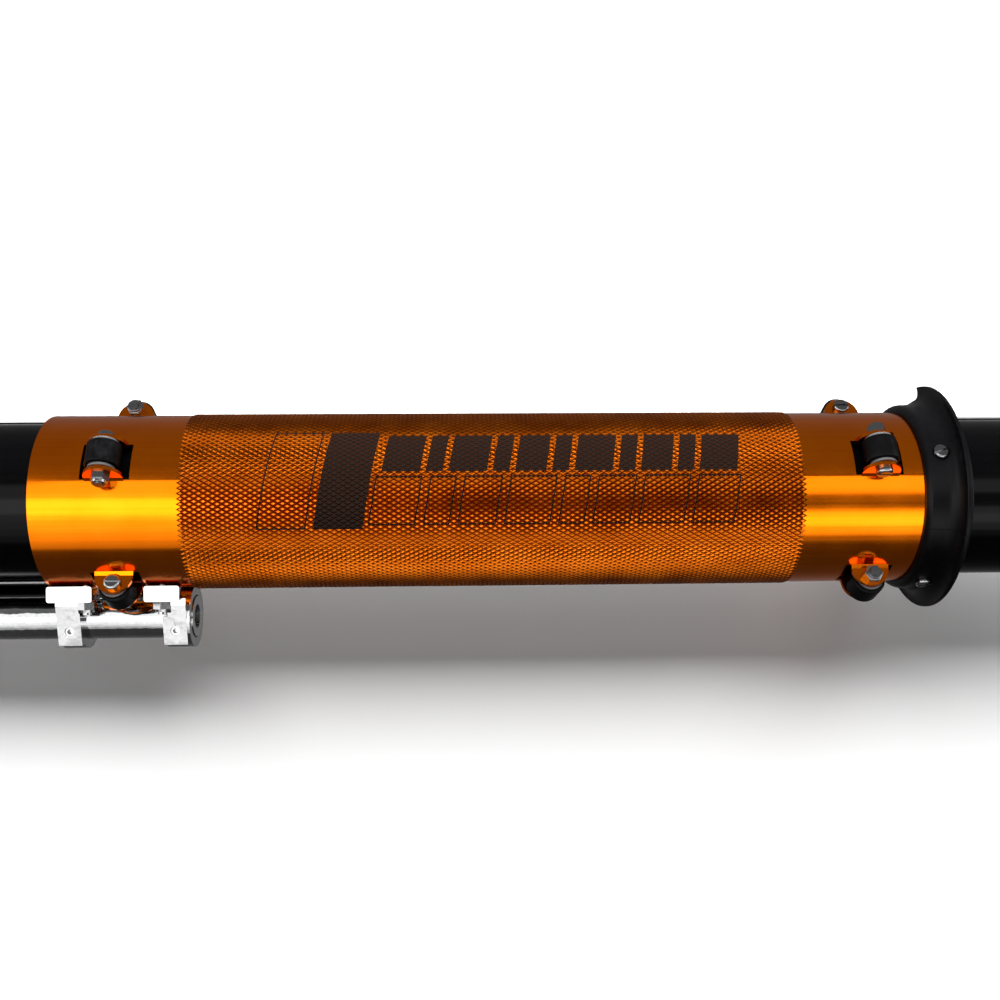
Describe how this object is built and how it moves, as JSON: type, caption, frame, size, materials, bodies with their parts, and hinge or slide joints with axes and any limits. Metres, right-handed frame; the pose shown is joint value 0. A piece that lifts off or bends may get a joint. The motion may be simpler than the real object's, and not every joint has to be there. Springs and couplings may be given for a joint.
{
  "type": "automatic drywall taper",
  "caption": "Tube-bodied drywall taping tool: a knurled control tube slides on rollers along a mud tube between a wheeled head and a lever at the base.",
  "frame": {"origin": "centre of the base cap's flat end, on the mud tube's axis", "axes": "+X out of the base along the mud tube's axis, so the head lies at -X; -Y towards the linkage tube and the tape reel, +Y towards the creaser lever; +Z across, along the wheels' axle"},
  "size_m": [1.3759, 0.3442, 0.113],
  "materials": {
    "black_anodised": "gloss",
    "gold_anodised": "satin",
    "black_moulded": "satin gloss",
    "black_rubber": "matte",
    "chrome": "polished",
    "steel": "zinc plated",
    "stainless": "brushed",
    "cast_aluminium": "satin",
    "grey_nylon": "matte",
    "white_nylon": "matte"
  },
  "bodies": {
    "frame": {"base_cap": "black_moulded", "base_cap_screws": "steel", "chain_cover": "stainless", "clamp_screws": "steel", "cover_plate": "stainless", "cutter_cable": "black_rubber", "cutter_channel": "stainless", "cutter_guide_tube": "black_anodised", "drive_chain": "steel", "filler_valve": "cast_aluminium", "head_block": "cast_aluminium", "head_screws": "steel", "lever_bracket": "cast_aluminium", "lever_spring": "steel", "linkage_guides": "cast_aluminium", "mud_tube": "black_anodised", "piston_cable": "steel", "pivot_pins": "steel", "reel_bracket": "cast_aluminium", "reel_spindle": "steel", "side_plate_left": "stainless", "side_plate_right": "stainless", "strip_guides": "stainless", "wheel_stub_axles": "steel"},
    "control_tube": {"control_sleeve": "gold_anodised", "collar_half_upper": "black_moulded", "collar_half_lower": "black_moulded", "collar_screws": "steel", "roller_axle_screws": "steel", "roller_nuts": "steel", "roller_washers": "grey_nylon", "slide_bracket": "chrome", "bracket_fasteners": "steel", "linkage_tube": "chrome", "tube_end_bush": "stainless", "tape_needle": "stainless", "cutter_pull_rod": "stainless"},
    "cutter": {"cutter_block": "stainless", "cutter_blade": "steel"},
    "creaser_lever": {"creaser_lever": "cast_aluminium"},
    "creaser_strip": {"creaser_strip": "stainless"},
    "creaser_arm": {"creaser_arm": "stainless"},
    "creaser_wheel": {"creaser_wheel": "stainless"},
    "piston": {"piston": "white_nylon", "piston_seals": "black_rubber"},
    "cable_drum": {"cable_drum": "cast_aluminium", "drum_sprocket": "steel"},
    "drive_wheel_right": {"drive_wheel_right": "cast_aluminium", "axle_sprocket": "steel"},
    "drive_wheel_left": {"drive_wheel_left": "cast_aluminium"},
    "reel": {"reel_disc": "gold_anodised"},
    "filler_flap": {"filler_flap": "black_rubber"},
    "roller_base_1": {"roller_base_1": "black_rubber"},
    "roller_base_2": {"roller_base_2": "black_rubber"},
    "roller_base_3": {"roller_base_3": "black_rubber"},
    "roller_base_4": {"roller_base_4": "black_rubber"},
    "roller_head_1": {"roller_head_1": "black_rubber"},
    "roller_head_2": {"roller_head_2": "black_rubber"},
    "roller_head_3": {"roller_head_3": "black_rubber"},
    "roller_head_4": {"roller_head_4": "black_rubber"}
  },
  "joints": [
    {"name": "control_slide", "type": "slide", "parent": "frame", "child": "control_tube", "axis": [1, 0, 0], "range_m": [0, 0.11]},
    {"name": "cutter_slide", "type": "slide", "parent": "frame", "child": "cutter", "axis": [0, 0, 1], "range_m": [0, 0.044]},
    {"name": "lever_squeeze", "type": "hinge", "parent": "frame", "child": "creaser_lever", "pos_m": [-0.062, 0.0555, 0], "axis": [0, 0, 1], "range_deg": [0, 18.6], "stiffness_Nm_per_rad": 1.2, "springref_deg": -17.19},
    {"name": "strip_slide", "type": "slide", "parent": "frame", "child": "creaser_strip", "axis": [1, 0, 0], "range_m": [0, 0.0047]},
    {"name": "creaser_swing", "type": "hinge", "parent": "frame", "child": "creaser_arm", "pos_m": [-1.24, 0.0615, 0], "axis": [0, 0, 1], "range_deg": [0, 13.3]},
    {"name": "creaser_wheel_spin", "type": "hinge", "parent": "creaser_arm", "child": "creaser_wheel", "pos_m": [-1.332, 0.002, 0], "axis": [0, 0, 1], "continuous": true},
    {"name": "piston_slide", "type": "slide", "parent": "frame", "child": "piston", "axis": [-1, 0, 0], "range_m": [0, 0.96], "deforming": ["piston_cable"]},
    {"name": "drum_spin", "type": "hinge", "parent": "frame", "child": "cable_drum", "pos_m": [-1.205, -0.0128, 0], "axis": [0, 0, 1], "continuous": true},
    {"name": "right_wheel_spin", "type": "hinge", "parent": "frame", "child": "drive_wheel_right", "pos_m": [-1.334, 0, 0], "axis": [0, 0, 1], "continuous": true},
    {"name": "left_wheel_spin", "type": "hinge", "parent": "frame", "child": "drive_wheel_left", "pos_m": [-1.334, 0, 0], "axis": [0, 0, 1], "continuous": true},
    {"name": "reel_spin", "type": "hinge", "parent": "frame", "child": "reel", "pos_m": [-0.945, -0.165, 0], "axis": [0, 0, 1], "continuous": true},
    {"name": "flap_swing", "type": "hinge", "parent": "frame", "child": "filler_flap", "pos_m": [-1.0916, 0, 0.0355], "axis": [0, 1, 0], "range_deg": [0, 70], "stiffness_Nm_per_rad": 0.01, "springref_deg": -11.46},
    {"name": "roller_base_1_spin", "type": "hinge", "parent": "control_tube", "child": "roller_base_1", "pos_m": [-0.346, 0.01882, 0.03774], "axis": [0, 0.8949, -0.4462], "continuous": true},
    {"name": "roller_base_2_spin", "type": "hinge", "parent": "control_tube", "child": "roller_base_2", "pos_m": [-0.346, 0.03774, -0.01882], "axis": [0, -0.4462, -0.8949], "continuous": true},
    {"name": "roller_base_3_spin", "type": "hinge", "parent": "control_tube", "child": "roller_base_3", "pos_m": [-0.346, -0.01882, -0.03774], "axis": [0, -0.8949, 0.4462], "continuous": true},
    {"name": "roller_base_4_spin", "type": "hinge", "parent": "control_tube", "child": "roller_base_4", "pos_m": [-0.346, -0.03774, 0.01882], "axis": [0, 0.4462, 0.8949], "continuous": true},
    {"name": "roller_head_1_spin", "type": "hinge", "parent": "control_tube", "child": "roller_head_1", "pos_m": [-0.669, 0.01882, 0.03774], "axis": [0, 0.8949, -0.4462], "continuous": true},
    {"name": "roller_head_2_spin", "type": "hinge", "parent": "control_tube", "child": "roller_head_2", "pos_m": [-0.669, 0.03774, -0.01882], "axis": [0, -0.4462, -0.8949], "continuous": true},
    {"name": "roller_head_3_spin", "type": "hinge", "parent": "control_tube", "child": "roller_head_3", "pos_m": [-0.669, -0.01882, -0.03774], "axis": [0, -0.8949, 0.4462], "continuous": true},
    {"name": "roller_head_4_spin", "type": "hinge", "parent": "control_tube", "child": "roller_head_4", "pos_m": [-0.669, -0.03774, 0.01882], "axis": [0, 0.4462, 0.8949], "continuous": true}
  ],
  "couplings": [
    {"joint": "cutter_slide", "follows": "control_slide", "ratio": 0.4},
    {"joint": "strip_slide", "follows": "lever_squeeze", "m_per_rad": 0.014},
    {"joint": "creaser_swing", "follows": "lever_squeeze", "ratio": 0.7},
    {"joint": "drum_spin", "follows": "piston_slide", "rad_per_m": 78.125},
    {"joint": "right_wheel_spin", "follows": "piston_slide", "rad_per_m": 46.875},
    {"joint": "roller_base_1_spin", "follows": "control_slide", "rad_per_m": 142.86},
    {"joint": "roller_base_2_spin", "follows": "control_slide", "rad_per_m": 142.86},
    {"joint": "roller_base_3_spin", "follows": "control_slide", "rad_per_m": 142.86},
    {"joint": "roller_base_4_spin", "follows": "control_slide", "rad_per_m": 142.86},
    {"joint": "roller_head_1_spin", "follows": "control_slide", "rad_per_m": 142.86},
    {"joint": "roller_head_2_spin", "follows": "control_slide", "rad_per_m": 142.86},
    {"joint": "roller_head_3_spin", "follows": "control_slide", "rad_per_m": 142.86},
    {"joint": "roller_head_4_spin", "follows": "control_slide", "rad_per_m": 142.86}
  ]
}
